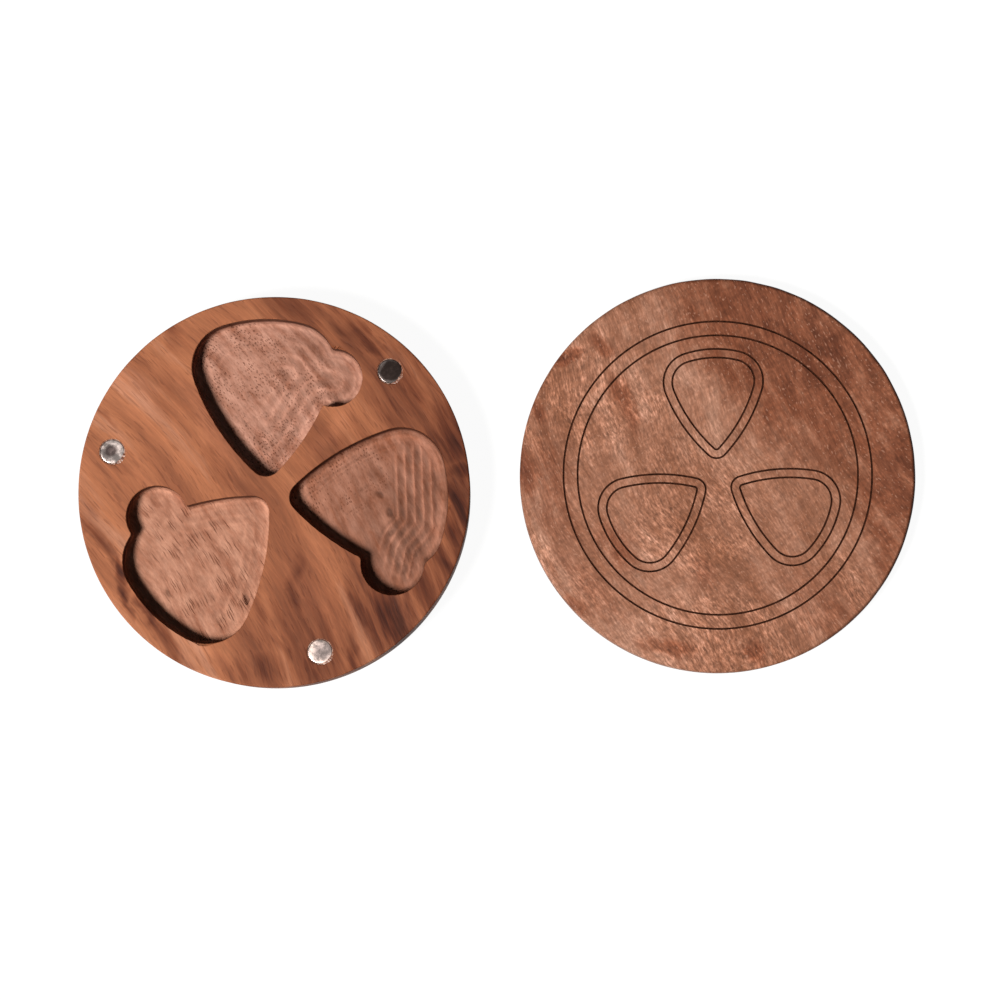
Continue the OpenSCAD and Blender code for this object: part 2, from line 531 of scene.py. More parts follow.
def sanded_walnut(name):
    """The base's flat faces: sanded and lightly oiled."""
    material, tree, shader, place = new_material(name)
    grain = grain_space(tree, place, GRAIN, GRAIN_BEND, 7, seed=1.3)
    broad = noise_at(tree, grain, (46, 7, 9), 2.1)
    streak = noise_at(tree, grain, (19, 1.7, 2), 5.2, detail=5, roughness=0.68)
    growth = noise_at(tree, grain, (34, 3.2, 4), 8.4, detail=2)
    fibre = noise_at(tree, grain, (4.5, 0.34, 0.5), 3.3, detail=5, roughness=0.75)
    figure = calc(tree, "ADD", calc(tree, "MULTIPLY", broad, 0.7), calc(tree, "MULTIPLY", streak, 0.3))
    tone = ramp(tree, figure, (0.38, seen(148, 91, 66)), (0.47, seen(168, 105, 75)),
                (0.55, seen(181, 115, 82)), (0.64, seen(190, 130, 101)))
    # Paler wood, and a painted highlight left of the first pocket
    pale = patches(tree, warped(tree, place, 10, 6, seed=2.8), PALE_WOOD_AND_HIGHLIGHT)
    tone = tinted(tree, tone, pale, (0.0, 1.0), (1.0, (1.42, 1.50, 1.62, 1)))
    tone = tinted(tree, tone, growth, (0.47, 1.0), (0.5, 0.45), (0.53, 1.0), force=0.16)
    # Darker heartwood, and broad painted shade
    dark = heartwood_and_shade(tree, place, grain)
    tone = tinted(tree, tone, dark, (0.0, 1.0), (0.2, (0.74, 0.68, 0.66, 1)),
                  (0.45, (0.44, 0.34, 0.30, 1)), (0.75, (0.24, 0.15, 0.12, 1)),
                  (1.0, (0.14, 0.08, 0.06, 1)))
    tone = tinted(tree, tone, fibre, (0.36, 0.84), (0.5, 1.0), (0.64, 1.14))
    pore = dashes(tree, grain, 3.6, 0.36, 7.7, 0.66)
    tone = mix_colour(tree, calc(tree, "MULTIPLY", pore, 0.22), tone, seen(70, 38, 27))
    scratch = noise_at(tree, grain_space(tree, place, -50, 0, 1, seed=9.9), (16, 0.3, 1), 4.8, detail=2)
    tone = tinted(tree, tone, scratch, (0.56, 1.0), (0.68, 1.14))
    rough = ramp(tree, fibre, (0.3, 0.60), (0.7, 0.72))
    finish_material(tree, shader, tone, rough, calc(tree, "SUBTRACT", fibre, pore), 0.02)
    shader.inputs["Specular IOR Level"].default_value = 0.14
    return material


def milled_walnut(name, light, deep, pore_size, share, porous, seed):
    """A pocket's wood as the cutter left it: paler, matt, with painted shade in its furrows, painted
    highlight on its ridges, and open pores.

    porous is the oval that the pores lie in: x, y, direction, length, width.
    """
    material, tree, shader, place = new_material(name)
    grain = grain_space(tree, place, GRAIN - 3, GRAIN_BEND, 5, seed=1.3)
    streak = noise_at(tree, grain, (14, 1.5, 1.8), 5.2, detail=5, roughness=0.65)
    cloud = noise_at(tree, grain, (4.5, 2.2, 2.5), seed, detail=5, roughness=0.65)
    fibre = noise_at(tree, grain, (2.2, 0.45, 0.5), seed + 3, detail=4, roughness=0.75)
    figure = calc(tree, "ADD", calc(tree, "MULTIPLY", cloud, 0.6), calc(tree, "MULTIPLY", streak, 0.4))
    tone = ramp(tree, figure, (0.38, seen(*deep)), (0.62, seen(*light)))
    # Darker heartwood, and broad painted shade
    dark = heartwood_and_shade(tree, place, grain)
    tone = tinted(tree, tone, dark, (0.0, 1.0), (0.3, 0.80), (0.8, 0.50))
    tone = tinted(tree, tone, fibre, (0.36, 0.84), (0.5, 1.0), (0.64, 1.14))
    above = calc(tree, "SUBTRACT", vector(tree, "DOT_PRODUCT", place, (0, 0, 1)), POCKET_FLOOR)
    # Painted shade darkens the furrows and other low places, and painted highlight lightens the ridges.
    # 0.5 on the ramp is the floor's level.
    level = calc(tree, "ADD", above, 0.5)
    tone = tinted(tree, tone, level, (0.28, 0.55), (0.42, 0.84), (0.50, 1.0), (0.60, 1.15), (0.72, 1.20),
                  (0.95, 1.0))
    # The walls above the floor's corner are darkened: painted shade that keeps the pockets' shadows deep
    up_the_wall = calc(tree, "MULTIPLY", above, 1 / POCKET_DEPTH)
    tone = tinted(tree, tone, up_the_wall, (0.20, 1.0), (0.42, (0.34, 0.26, 0.22, 1)))
    pore = pits(tree, warped(tree, grain, 2.2, 0.8, seed + 5), *pore_size, 0.32, share)
    fade = ramp(tree, noise_at(tree, grain, (5, 2.5, 3), seed + 7), (0.40, 0.1), (0.58, 1.0))
    here = ramp(tree, patch(tree, place, *porous), (0.0, 0.0), (0.35, 1.0))
    pore = calc(tree, "MULTIPLY", calc(tree, "MULTIPLY", pore, fade), here)
    tone = mix_colour(tree, calc(tree, "MULTIPLY", pore, 0.7), tone, seen(96, 56, 44))
    rough = ramp(tree, fibre, (0.3, 0.70), (0.7, 0.84))
    finish_material(tree, shader, tone, rough, calc(tree, "SUBTRACT", fibre, pore), 0.06)
    shader.inputs["Specular IOR Level"].default_value = 0.12
    return material


# ---------------------------------------------------------------- figured wood of the lid

# Places of painted sheen, and darker dull places, on the lid, from its centre: x, y, direction, length,
# width, strength
PAINTED_SHEEN = (
    (-33, 21, -60, 16, 9, 1.0),
    (-29, 12, -60, 18, 7, 0.9),
    (-22, 14, -62, 12, 4, 1.0),
    (-13.5, 15, -50, 9, 7, 1.0),
    (-37, 8, -50, 14, 4, 0.9),
    (-26.5, 31, -60, 8, 5, 0.9),
    (-12, -11, -60, 22, 15, 0.8),
    (-6, -16, -40, 12, 8, 0.9),
    (-6, -33, -75, 12, 8, 1.0),
    (-37, -15, -70, 14, 4, 0.9),
    (-26, -24, -45, 20, 7, 0.4),
    (2, -31, 0, 16, 6, 0.9),
    (9, -38, 10, 20, 6, 1.0),
    (26, -23, -60, 14, 7, 0.8),
    (1, -15, 20, 14, 8, 0.7),
    (-4, -1, -30, 44, 26, 0.36),
    (-26, 20, -60, 40, 26, 0.6),
    (0, -31, 0, 50, 18, 0.6),
    (-2, -37, 0, 30, 9, 1.0),
)
# Dull places: partly the figure's own darker wood, partly painted shade where the sheen falls away,
# broadest towards the lid's right
DULL_AND_SHADE = (
    (-30, 26, 20, 9, 3.5, 0.8),
    (-36.5, 14, -60, 8, 5, 0.6),
    (-18, 15.5, -66, 15, 4, 0.6),
    (-22, 27.5, -30, 9, 4, 0.5),
    (-39, 2, -80, 14, 5, 0.8),
    (-22, -14, -50, 14, 9, 0.45),
    (-30, -25, -50, 9, 4, 0.7),
    (-12, -35, -15, 16, 5, 0.65),
    (-4, -20, -60, 9, 5, 0.4),
    (9.3, 22, -82, 20, 3.6, 0.9),
    (11, 13, -80, 10, 3, 0.7),
    (9, 35, -80, 9, 3.5, 0.9),
    (4, 38.5, 0, 8, 3, 0.6),
    (23, 28, -75, 13, 3, 0.7),
    (34.5, 4, 0, 6, 3, 0.7),
    (5, -37, -60, 7, 5, 0.6),
    (33, -20, -50, 12, 5, 0.5),
    (20, 28, -45, 90, 56, 0.72),
    (37, -2, 90, 66, 26, 0.60),
    (22, -29, -45, 32, 18, 0.24),
    (-34, 0, -80, 32, 14, 0.30),
    (-29, -21, -50, 22, 12, 0.24),
)


def painted_rim_shade(tree, place):
    """How far the lid's rounded rim and its wall are painted dark as shade: mostly at its +X side, away
    from the key light.
    """
    flat = vector(tree, "MULTIPLY", place, (1, 1, 0))
    reach = calc(tree, "SQRT", vector(tree, "DOT_PRODUCT", flat, flat))
    edge = ramp(tree, calc(tree, "SUBTRACT", reach, LID_R - 1), (0.25, 0.0), (0.75, 1.0))
    across = vector(tree, "DOT_PRODUCT", flat, (1 / LID_R, 0.2 / LID_R, 0))
    return calc(tree, "MULTIPLY", edge, ramp(tree, across, (0.0, 0.1), (0.75, 0.85)))


def figured_walnut(name):
    """The lid's wood: a curly figure, with painted sheen and painted glints in short flecks."""
    material, tree, shader, place = new_material(name)
    place = vector(tree, "SUBTRACT", place, (LID_X, 0, 0))
    grain = grain_space(tree, place, -64, -0.004, 10, seed=4.1)
    loose = warped(tree, place, 8, 6, seed=2.6)
    cloud = noise_at(tree, grain, (8, 2.8, 3), 6.2, detail=5, roughness=0.66)
    broad = noise_at(tree, grain, (40, 12, 12), 9.1, detail=2)
    fleck = noise_at(tree, grain, (1.5, 0.42, 0.5), 1.9, detail=3, roughness=0.7)
    cross = noise_at(tree, grain, (0.7, 2.2, 0.8), 5.7, detail=2)
    fibre = noise_at(tree, grain, (7, 0.5, 0.6), 3.9, detail=3, roughness=0.7)
    figure = calc(tree, "ADD", calc(tree, "MULTIPLY", cloud, 0.5), calc(tree, "MULTIPLY", broad, 0.5))
    tone = ramp(tree, figure, (0.38, seen(144, 94, 71)), (0.5, seen(165, 113, 89)),
                (0.62, seen(186, 136, 112)))
    # Dull places darken: partly darker wood, partly painted shade
    dull_and_shade_force = ramp(tree, cloud, (0.40, 1.35), (0.60, 0.65))
    dull_and_shade = calc(tree, "MULTIPLY", patches(tree, loose, DULL_AND_SHADE), dull_and_shade_force, clamp=True)
    tone = tinted(tree, tone, dull_and_shade, (0.0, 1.0), (0.35, (0.74, 0.565, 0.46, 1)),
                  (1.0, (0.34, 0.21, 0.15, 1)))
    # Painted sheen lightens the shimmering places
    painted_sheen_force = ramp(tree, cloud, (0.40, 0.3), (0.60, 2.0))
    painted_sheen = calc(tree, "MULTIPLY", patches(tree, loose, PAINTED_SHEEN), painted_sheen_force, clamp=True)
    tone = tinted(tree, tone, painted_sheen, (0.0, 1.0), (0.6, 1.18))
    # Painted glints: the flecks lighten sharply where the painted sheen is strong
    painted_glint_force = ramp(tree, painted_sheen, (0.0, 0.42), (0.5, 1.0))
    tone = tinted(tree, tone, fleck, (0.36, (0.52, 0.50, 0.48, 1)), (0.5, 0.95),
                  (0.60, (1.42, 1.5, 1.6, 1)), (0.70, (2.1, 2.4, 2.8, 1)), force=painted_glint_force)
    tone = tinted(tree, tone, cross, (0.35, 0.80), (0.65, 1.2), force=0.6)
    tone = tinted(tree, tone, fibre, (0.36, 0.84), (0.64, 1.16))
    # Painted sparkle: short bright dashes along the grain
    painted_sparkle = dashes(tree, grain, 0.7, 0.36, 3.1, 0.69)
    tone = mix_colour(tree, calc(tree, "MULTIPLY", painted_sparkle, 0.35), tone, seen(214, 160, 134))
    # Painted shade on the lid's rim and wall
    tone = mix_colour(tree, painted_rim_shade(tree, place), tone, seen(48, 28, 22))
    rough = ramp(tree, fleck, (0.3, 0.70), (0.7, 0.55))
    finish_material(tree, shader, tone, rough, fleck, 0.02)
    shader.inputs["Specular IOR Level"].default_value = 0.16
    return material


def burnt_wood(name):
    """The scorched wall of an engraved line."""
    material, tree, shader, place = new_material(name)
    char = noise_at(tree, place, (0.7, 0.7, 0.4), 2.2)
    tone = ramp(tree, char, (0.35, (0.012, 0.004, 0.002, 1)), (0.65, (0.045, 0.014, 0.007, 1)))
    finish_material(tree, shader, tone, ramp(tree, char, (0.3, 0.95), (0.7, 0.8)), char, 0.01)
    shader.inputs["Specular IOR Level"].default_value = 0.05
    return material


# ---------------------------------------------------------------- nickel and glue


def nickel(name, centre, bright, dark_reflection, reflection_place, reflection_size, seed):
    """Nickel plate, handled and smudged, with a painted dark reflection on its face."""
    material, tree, shader, place = new_material(name)
    local = vector(tree, "SUBTRACT", place, tuple(centre))
    smudge = noise_at(tree, local, (1.3, 1.3, 1.3), seed, detail=4, roughness=0.6)
    scuff = noise_at(tree, local, (1.6, 0.10, 0.3), seed + 4, detail=2)
    loose = warped(tree, local, 1.1, 0.9, seed + 8)
    # Painted dark reflection: a soft dark patch on the face
    reflection_spot = patch(tree, loose, *reflection_place, 20, reflection_size, reflection_size * 0.85)
    reflection_spot = ramp(tree, reflection_spot, (0.05, 0.0), (0.45, 1.0))
    tone = ramp(tree, smudge, (0.38, tuple(c * 0.62 for c in bright) + (1,)), (0.56, bright + (1,)))
    tone = mix_colour(tree, reflection_spot, tone, dark_reflection + (1,))
    rough = ramp(tree, smudge, (0.38, 0.18), (0.62, 0.36))
    shader.inputs["Metallic"].default_value = 0.85
    finish_material(tree, shader, tone, rough, scuff, 0.006)
    return material


def glue_material(name):
    """Clear glue with bubbles and sawdust in it."""
    material, tree, shader, place = new_material(name)
    cloud = noise_at(tree, place, (0.5, 0.5, 0.5), 5.5)
    tone = ramp(tree, cloud, (0.38, seen(104, 60, 44)), (0.50, seen(150, 98, 76)),
                (0.64, seen(206, 168, 148)))
    finish_material(tree, shader, tone, ramp(tree, cloud, (0.3, 0.35), (0.7, 0.5)), cloud, 0.006)
    return material


# Each pocket's wood: light and deep tone, a pore's size along the grain and across it, the share of
# open pores, the oval that they lie in, and the seed of its noise
POCKET_WOODS = (
    ((208, 154, 132), (154, 102, 82), (0.80, 0.37), 0.75, (-3, 18, -58, 56, 40), 11.1),
    ((190, 134, 111), (150, 95, 73), (0.85, 0.42), 0.60, (11, 3, 20, 34, 22), 13.7),
    ((205, 149, 123), (158, 104, 82), (5.5, 0.40), 0.60, (-12, -16, -60, 54, 32), 17.9),
)

base_wood = sanded_walnut("walnut_sanded")
pocket_wood = [milled_walnut(f"walnut_milled_{i + 1}", *row) for i, row in enumerate(POCKET_WOODS)]
lid_wood = figured_walnut("walnut_figured")
engraving_char = burnt_wood("engraving_char")
glue = glue_material("clear_glue")

# ---------------------------------------------------------------- the base

# Direction, tip, finger hollow's centre and radius as in the CAD, then the floor's corner radius
# and the place of a chip in the rim
POCKETS = (
    dict(turn=89.2, tip=(-1.5, 3.1), finger=(19.9, -14.2), finger_r=6.0, corner=1.2, chip=(14.2, 29.4)),
    dict(turn=-3.5, tip=(3.1, -1.3), finger=(21.3, -13.2), finger_r=6.5, corner=2.1, chip=(35.4, -4.8)),
    dict(turn=223.7, tip=(-2.1, -1.8), finger=(17.5, -13.5), finger_r=6.3, corner=1.2,
         chip=(-15.8, -31)),
)
# How far a chipped place on a pocket's rim runs along it, and how deep it is
CHIP_REACH = 1.3
CHIP_DEPTH = 0.6
# Marks the cutter left in each pocket. Passes are furrows along the wall, or along a path: path,
# distance of the first ridge between furrows, spacing, number, depth, and the oval they show in:
# x, y, direction, length, width. Scoops are round dents: x, y, radius, depth. Tears are long
# dents: x, y, direction, length, width, depth.
BENT_PATH = ((34.9, 14), (34.9, -10), (30.5, -14.5), (28.8, -21))
PASSES = (
    ((None, 1.6, 2.4, 5, 0.18, (9, 17, 60, 50, 27)), (None, 2.2, 1.5, 3, 0.08, (-3, 28, 0, 30, 16))),
    ((BENT_PATH, 2.8, 1.75, 5, 0.38, (28.5, -5.5, 86, 36, 19)),
     (None, 2.3, 1.1, 2, 0.18, (12, 6, 28, 44, 13))),
    ((None, 1.7, 1.7, 3, 0.10, (-10, -14, -60, 44, 24)),),
)
SCOOPS = (
    ((11.2, 22.9, 2.1, 0.07), (-4.0, 20.4, 1.6, 0.04), (-1.2, 15.8, 1.5, 0.05), (2.5, 24.5, 1.7, 0.04),
     (12.8, 20.2, 1.7, 0.05), (4.6, 12.8, 1.4, 0.04)),
    ((25.3, -16.6, 1.5, 0.08), (28.9, 6.2, 2.0, 0.07), (27.2, 8.6, 1.5, 0.06), (21.0, 3.2, 1.8, 0.03)),
    ((-21.2, -5.6, 1.5, 0.04), (-17.8, -11.3, 1.5, 0.05), (-15.6, -17.4, 1.6, 0.06),
     (-14.0, -20.8, 1.4, 0.06), (-12.6, -24.8, 1.7, 0.05), (-11.4, -3.6, 1.5, 0.03)),
)
TEARS = (
    ((-5.6, 14.5, -52, 2.6, 0.7, 0.10),),
    ((21.4, -1.2, -35, 2.8, 1.6, 0.15), (23.3, -5.0, -75, 2.8, 1.9, 0.20),
     (23.6, -9.2, 15, 3.0, 1.6, 0.14), (18.4, 0.4, 30, 3.0, 1.3, 0.07),
     (17.2, -3.4, -20, 4.0, 1.6, 0.05)),
    ((-6.3, -22.4, -66, 5.2, 1.6, 0.45), (-22.8, -19.6, -64, 2.4, 0.8, 0.20)),
)
# Points round a pocket, the spacing of the points on its floor, and how far its wall leans in
RAYS = 480
FLOOR_SPACING = 0.27
WALL_DRAFT = 0.06
# Width over which the corner between a pick and its finger hollow is worn round
NOTCH_WEAR = 0.8
# Rings in the round corner between a wall and its floor
CORNER_STEPS = 8


def ray_angles():
    """Directions of the rays that a pocket's rings are made on."""
    return TAU * (np.arange(RAYS) + 0.5) / RAYS - math.pi


def in_place(pocket, flat):
    """Brings points from a pocket's own frame to the base."""
    return turn(flat, pocket["turn"]) + pocket["tip"]


def pocket_ring(pocket, inset, hub, angles):
    """A pocket's outline in its own frame, moved inward by inset, one point for each ray from hub."""
    pick = pick_outline(inset=inset) - hub
    a = np.arctan2(pick[:, 1], pick[:, 0])
    order = np.argsort(a)
    reach = np.interp(angles, a[order], np.hypot(*pick.T)[order], period=TAU)
    away = np.array(pocket["finger"]) - hub
    radius = pocket["finger_r"] - inset
    toward = away[0] * np.cos(angles) + away[1] * np.sin(angles)
    finger = toward + np.sqrt(toward ** 2 + radius ** 2 - away @ away)
    near = np.clip(NOTCH_WEAR - np.abs(reach - finger), 0, None)
    reach = np.maximum(reach, finger) + near ** 2 / (4 * NOTCH_WEAR)
    return hub + np.c_[np.cos(angles), np.sin(angles)] * reach[:, None]


def oval(points, x, y, direction, length, width):
    """Distance of flat points from an oval's middle: 1 on its edge."""
    local = turn(points - [x, y], -direction)
    return np.hypot(local[:, 0] / (length / 2), local[:, 1] / (width / 2))


def smooth(value):
    value = np.clip(value, 0, 1)
    return value * value * (3 - 2 * value)


def path_distance(points, path):
    """Distance of flat points from a path of straight stretches."""
    result = np.full(len(points), 1e9)
    for a, b in zip(np.array(path[:-1]), np.array(path[1:])):
        share = np.clip((points - a) @ (b - a) / ((b - a) @ (b - a)), 0, 1)
        result = np.minimum(result, np.linalg.norm(points - a - share[:, None] * (b - a), axis=1))
    return result


def ripple(points, size):
    """Smooth noise at flat points, about -1 to 1."""
    return np.array([noise.noise((x / size, y / size, size)) for x, y in points])


def floor_relief(points, wall, marks):
    """Height of a pocket's floor above its level, from the marks that the cutter left."""
    wall_distance = np.array([wall.find((x, y, 0))[2] for x, y in points])
    height = 0.02 * ripple(points, 1.1)
    passes, scoops, tears = marks
    for path, first, spacing, number, rise, area in passes:
        distance = path_distance(points, path) if path else wall_distance
        distance = distance + 0.15 * ripple(points, 3.0)
        shown = smooth((1 - oval(points, *area)) * 2.5)
        turns = (distance - first) / spacing
        furrow = (2 * (turns - np.floor(turns)) - 1) ** 2
        within = smooth((turns + 0.7) * 4) * smooth((number - 0.4 - turns) * 4)
        height += rise * (furrow - 0.33) * shown * within
    for x, y, radius, depth in scoops:
        away = oval(points, x, y, 0, 2 * radius, 2 * radius)
        height -= depth * smooth((1 - away) * 2.2) - 0.45 * depth * np.exp(-((away - 1.1) / 0.2) ** 2)
    for *area, depth in tears:
        rough = 1 + 0.5 * ripple(points, 0.7)
        height -= depth * smooth((1 - oval(points, *area)) * 1.6) * rough
    return height


def add_pocket_rim(solid, pocket, outline, hub):
    """Adds a pocket's worn and chipped rim. Returns its rings and how far it is worn at each point."""
    angles = ray_angles()
    ease = np.clip(0.10 + 0.06 * wobble(angles, pocket["turn"], 9, 90), 0.04, 0.3)
    out = outline - hub
    out /= np.linalg.norm(out, axis=1)[:, None]
    from_chip = np.linalg.norm(in_place(pocket, outline) - pocket["chip"], axis=1)
    ragged = 1 + 0.5 * wobble(angles, pocket["turn"] + 3, 60, 160)
    ease += CHIP_DEPTH * np.exp(-(from_chip / CHIP_REACH) ** 2) * ragged
    rim = [solid.ring(in_place(pocket, outline + out * (ease + COLLAR)[:, None]), BASE_TOP)]
    for share in (1, 0.3, 0):
        flat = in_place(pocket, outline + out * ease[:, None] * share)
        rim.append(solid.ring(flat, BASE_TOP - ease * (1 - share)))
    solid.bands(rim)
    return rim, ease


def add_pocket_wall(solid, pocket, kind, hub, top, ease):
    """Adds a pocket's wall and the round corner at its foot. Returns the ring that the floor fills."""
    angles = ray_angles()
    corner = pocket["corner"]
    foot = POCKET_FLOOR + corner
    wall = [top]
    for share in (0.33, 0.66, 1):
        z = (BASE_TOP - ease) * (1 - share) + foot * share
        flat = pocket_ring(pocket, WALL_DRAFT * share, hub, angles)
        wall.append(solid.ring(in_place(pocket, flat), z))
    for i in range(1, CORNER_STEPS + 1):
        a = math.pi / 2 * i / CORNER_STEPS
        flat = pocket_ring(pocket, WALL_DRAFT + corner * (1 - math.cos(a)), hub, angles)
        wall.append(solid.ring(in_place(pocket, flat), POCKET_FLOOR + corner * (1 - math.sin(a))))
    solid.bands(wall, kind)
    return wall[-1]


def add_pocket(solid, pocket, kind, marks):
    """Adds one pocket's rim, wall and floor, and returns the ring where it meets the top."""
    hub = np.array(pocket["finger"]) + [0, 4]
    outline = pocket_ring(pocket, 0, hub, ray_angles())
    rim, ease = add_pocket_rim(solid, pocket, outline, hub)
    foot = add_pocket_wall(solid, pocket, kind, hub, rim[-1], ease)
    wall = nearest_to(in_place(pocket, outline))
    solid.sheet([foot], FLOOR_SPACING, kind, lambda points: floor_relief(points, wall, marks))
    return rim[0]


# Direction in which a magnet hole's rim is torn and its glue squeezed out
TORN_TOWARD = -42
HOLE_POINTS = 96


def add_magnet_hole(solid, centre, mouth, down, seed, chipped):
    """Adds a blind hole and returns the ring at its mouth. down is -1 or 1, into the wood."""
    angles = TAU * np.arange(HOLE_POINTS) / HOLE_POINTS
    out = np.c_[np.cos(angles), np.sin(angles)]
    torn = np.clip(np.cos(angles - math.radians(TORN_TOWARD)), 0, 1) ** 3
    ease = 0.08 + 0.03 * wobble(angles, seed)
    ease = np.clip(ease, 0.04, 0.2) + chipped * torn * (0.22 + 0.12 * wobble(angles, seed + 2, 7, 30))
    flat = centre[:2] + out * HOLE_R
    rings = [
        solid.ring(flat + out * (ease + COLLAR)[:, None], mouth),
        solid.ring(flat + out * ease[:, None], mouth),
        solid.ring(flat + out * ease[:, None] * 0.35, mouth + down * ease * 0.45),
        solid.ring(flat, mouth + down * ease),
        solid.ring(flat, mouth + down * HOLE_DEPTH * 0.5),
        solid.ring(flat, mouth + down * HOLE_DEPTH),
    ]
    solid.bands(rings)
    solid.cap(rings[-1], (centre[0], centre[1], mouth + down * (HOLE_DEPTH + DRILL_POINT_H)))
    return rings[0]


# Radius of the rounding on the rims, and the spacing of the points on the flat faces
BASE_EASE = 0.35
LID_EASE = 0.75
FACE_SPACING = 1.6
BASE_UNDER_SPACING = 4
LID_UNDER_SPACING = 3


def make_base():
    solid = Solid()
    top, bottom = rounded_rim(solid, np.zeros(2), BASE_R, BASE_TOP, BASE_EASE, wear=0.25)
    loops = [top]
    for i, pocket in enumerate(POCKETS):
        loops.append(add_pocket(solid, pocket, i + 1, (PASSES[i], SCOOPS[i], TEARS[i])))
    for i, centre in enumerate(BASE_MAGNETS):
        loops.append(add_magnet_hole(solid, centre, BASE_TOP, -1, seed=i + 1, chipped=1.0))
    solid.sheet(loops, FACE_SPACING)
    solid.sheet([bottom], BASE_UNDER_SPACING)
    return solid.build("walnut_base", [base_wood, *pocket_wood])


# ---------------------------------------------------------------- the lid

# Half of an engraved line's section: share of its half width, share of its depth
GROOVE = ((1, 0), (0.8, 0.55), (0.35, 0.95))
# Points on an engraved ring, and on one arc of an engraved pick
RING_POINTS = 360
MOTIF_STEPS = 12


def add_groove(solid, outline):
    """Cuts an engraved line along outline(offset) into the lid and returns its two top rings."""
    profile = GROOVE + tuple((-width, depth) for width, depth in reversed(GROOVE))
    rings = [solid.ring(outline(LINE_W / 2 * width), LID_TOP - LINE_DEPTH * depth)
             for width, depth in profile]
    solid.bands(rings, 1)
    return [rings[0], rings[-1]]


def make_lid():
    solid = Solid()
    centre = np.array([LID_X, 0])
    top, bottom = rounded_rim(solid, centre, LID_R, LID_TOP, LID_EASE, wear=0.3)
    loops = [top]
    for radius in RING_RADII:
        loops += add_groove(solid, lambda offset: circle(centre, radius + offset, RING_POINTS))
    for i in range(3):
        for inset in (0, MOTIF_BAND):
            def motif(offset):
                flat = pick_outline(MOTIF_SCALE, inset - offset, MOTIF_STEPS) + [MOTIF_TIP, 0]
                return centre + turn(flat, 90 + 120 * i)
            loops += add_groove(solid, motif)
    solid.sheet(loops, FACE_SPACING)
    under = [bottom]
    for i, magnet in enumerate(LID_MAGNETS):
        under.append(add_magnet_hole(solid, magnet, 0, 1, seed=i + 5, chipped=0.3))
    solid.sheet(under, LID_UNDER_SPACING)
    return solid.build("figured_lid", [lid_wood, engraving_char])


# ---------------------------------------------------------------- magnets and glue

# Radius of a magnet's rounded edges, and how hollow its face is
MAGNET_EDGE = 0.22
MAGNET_HOLLOW = 0.012
MAGNET_POINTS = 72
EDGE_STEPS = 6


def make_magnet(name, centre, material, tilt, toward):
    """A plated disc with rounded edges, a slightly hollow face and a small tilt in its glue."""
    solid = Solid()
    profile = []
    for i in range(EDGE_STEPS + 1):
        a = math.pi / 2 * i / EDGE_STEPS
        radius = MAGNET_R - MAGNET_EDGE * (1 - math.sin(a))
        profile.append((radius, MAGNET_T / 2 - MAGNET_EDGE * (1 - math.cos(a))))
    profile += [(radius, -z) for radius, z in reversed(profile)]
    rings = [solid.ring(circle((0, 0), radius, MAGNET_POINTS), z) for radius, z in profile]
    solid.bands(rings)
    inner = rings[0]
    for radius in (1.7, 1.1, 0.5):
        z = MAGNET_T / 2 - MAGNET_HOLLOW * (1 - (radius / MAGNET_R) ** 2)
        step = solid.ring(circle((0, 0), radius, MAGNET_POINTS), z)
        solid.band(inner, step)
        inner = step
    solid.cap(inner, (0, 0, MAGNET_T / 2 - MAGNET_HOLLOW))
    solid.cap(rings[-1], (0, 0, -MAGNET_T / 2))
    obj = solid.build(name, [material])
    axis = Vector((math.cos(math.radians(toward)), math.sin(math.radians(toward)), 0))
    lean = Matrix.Rotation(math.radians(tilt), 4, axis)
    obj.data.transform(Matrix.Translation(Vector(centre) * MM) @ lean)
    return obj


# How deep the glue round a magnet starts and ends, and how far it rises where it was squeezed out
GLUE_LEVEL = 0.42
GLUE_FOOT = 1.2
SQUEEZE_RISE = 0.38
GLUE_POINTS = 120


def make_glue_ring(name, centre, mouth, up, seed, spill):
    """Glue in the gap round a magnet, squeezed out on one side. up is 1 or -1."""
    solid = Solid()
    angles = TAU * np.arange(GLUE_POINTS) / GLUE_POINTS
    out = np.c_[np.cos(angles), np.sin(angles)]
    squeezed = spill * np.clip(np.cos(angles - math.radians(TORN_TOWARD)), 0, 1) ** 2
    rough = wobble(angles, seed, 4, 40)
    level = np.clip(GLUE_LEVEL - SQUEEZE_RISE * squeezed + 0.06 * rough, 0.03, 0.6)
    inner = MAGNET_R - 0.06 - 0.20 * squeezed * (1 + 0.5 * rough)
    outer = HOLE_R + 0.03 + 0.26 * squeezed * (1 + 0.5 * rough)
    foot = np.full(GLUE_POINTS, GLUE_FOOT)
    profile = (
        (inner, level + 0.05),
        (inner * 0.6 + outer * 0.4, level * 0.9),
        (outer, level + 0.03),
        (np.minimum(outer, HOLE_R + 0.02), level + 0.5),
        (np.full(GLUE_POINTS, HOLE_R + 0.02), foot),
        (np.full(GLUE_POINTS, MAGNET_R - 0.03), foot),
        (np.maximum(inner, MAGNET_R - 0.06), level + 0.5),
    )
    rings = [solid.ring(centre[:2] + out * r[:, None], mouth - up * depth) for r, depth in profile]
    solid.bands(rings + [rings[0]])
    return solid.build(name, [glue], sharp_degrees=70)


base = make_base()
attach(base, "base")
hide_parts("base")

lid = make_lid()
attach(lid, "lid")
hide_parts("lid")

# Each base magnet's plate colour, lighter or darker to paint how much it reflects, its painted dark
# reflection, that reflection's place and size, and its lean: degrees and axis
MAGNET_LOOKS = (
    ((0.42, 0.35, 0.33), (0.045, 0.030, 0.026), (0.3, 0.1), 7.5, 1.4, 125),
    ((0.57, 0.48, 0.45), (0.13, 0.095, 0.09), (-0.35, 0.2), 3.6, 0.5, 130),
    ((0.74, 0.59, 0.53), (0.39, 0.31, 0.29), (0.7, 0.1), 5.6, 0.8, 250),
)
